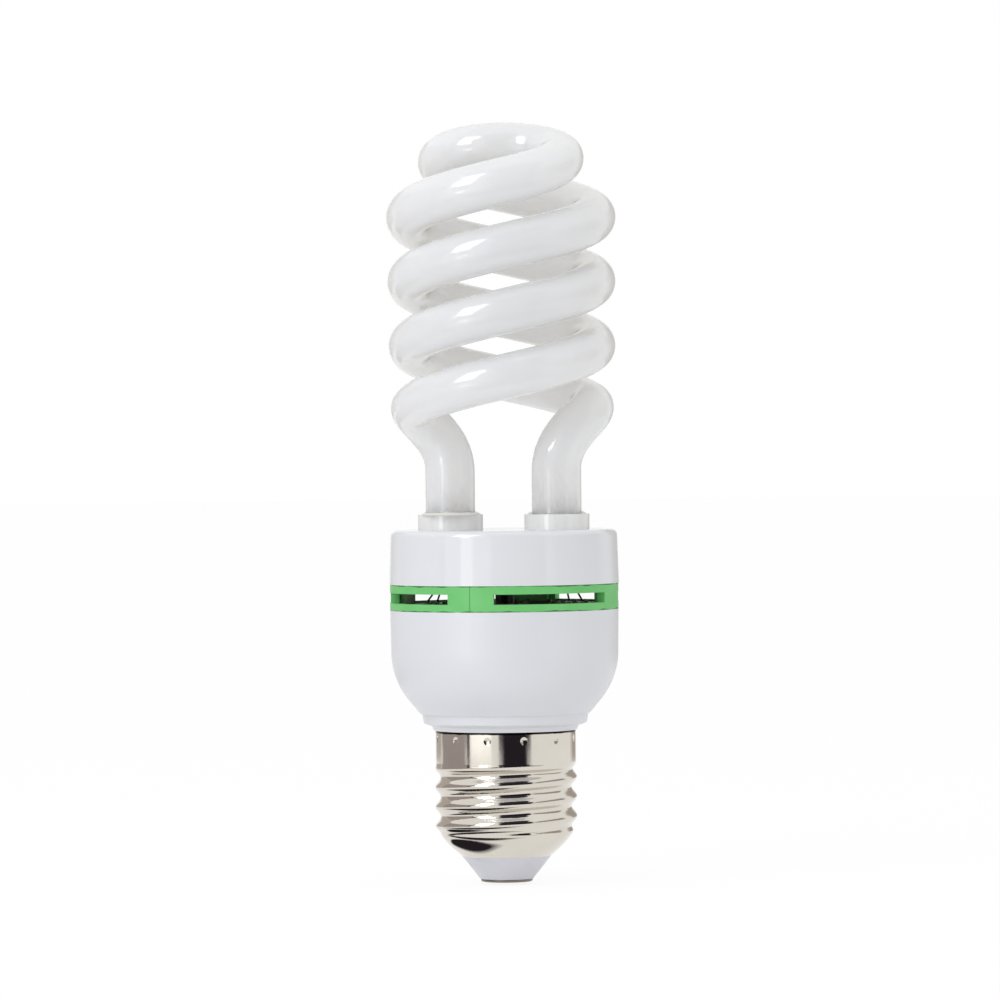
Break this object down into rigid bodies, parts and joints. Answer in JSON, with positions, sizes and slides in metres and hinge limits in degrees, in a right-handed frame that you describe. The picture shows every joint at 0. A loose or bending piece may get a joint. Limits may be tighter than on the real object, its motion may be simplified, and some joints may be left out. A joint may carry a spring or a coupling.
{
  "type": "compact fluorescent lamp",
  "caption": "Energy saving lamp: a double spiral white glass tube on a round plastic housing with a slotted green vent ring and a screw cap.",
  "frame": {"origin": "middle of the centre contact's outer face, on the lamp's axis", "axes": "+Z along the lamp's axis from the cap to the glass tube's apex; the pictured side faces -Y and its right-hand side is +X"},
  "size_m": [0.0426, 0.0426, 0.1405],
  "materials": {
    "plated_brass": "tin plated, satin",
    "insulator_plastic": "satin moulded",
    "nickel_plated_brass": "bright nickel plate",
    "white_plastic": "semi-gloss moulded",
    "green_plastic": "satin moulded",
    "coated_glass": "gloss glass, white coated inside",
    "cement": "matte",
    "tinned_wire": "tinned",
    "board_laminate": "pressed paper laminate",
    "solder": "bright",
    "sleeved_can": "shrunk sleeve",
    "ferrite": "ground ferrite",
    "black_plastic": "moulded epoxy",
    "enamelled_copper": "enamelled",
    "blue_lacquer": "dipped lacquer",
    "beige_lacquer": "lacquered",
    "red_dip": "epoxy dip",
    "wire_insulation": "PVC"
  },
  "bodies": {
    "root": {"centre_contact": "plated_brass", "base_insulator": "insulator_plastic", "screw_shell": "nickel_plated_brass", "lower_housing": "white_plastic", "vent_ring": "green_plastic", "tube_holder_cover": "white_plastic", "spiral_glass_tube": "coated_glass", "tube_cement": "cement", "filament_lead_wires": "tinned_wire", "circuit_board": "board_laminate", "solder_joints": "solder", "component_leads": "tinned_wire", "electrolytic_capacitor": "sleeved_can", "choke_core": "ferrite", "choke_bobbin": "black_plastic", "choke_winding": "enamelled_copper", "feedback_toroid": "ferrite", "toroid_windings": "enamelled_copper", "power_transistors": "black_plastic", "rectifier_diodes": "black_plastic", "trigger_diode": "blue_lacquer", "resistors": "beige_lacquer", "film_capacitors": "red_dip", "ceramic_capacitor": "blue_lacquer", "filter_inductor": "ferrite", "preheat_thermistor": "black_plastic", "fuse_resistor": "beige_lacquer", "supply_wires": "wire_insulation"}
  },
  "joints": []
}
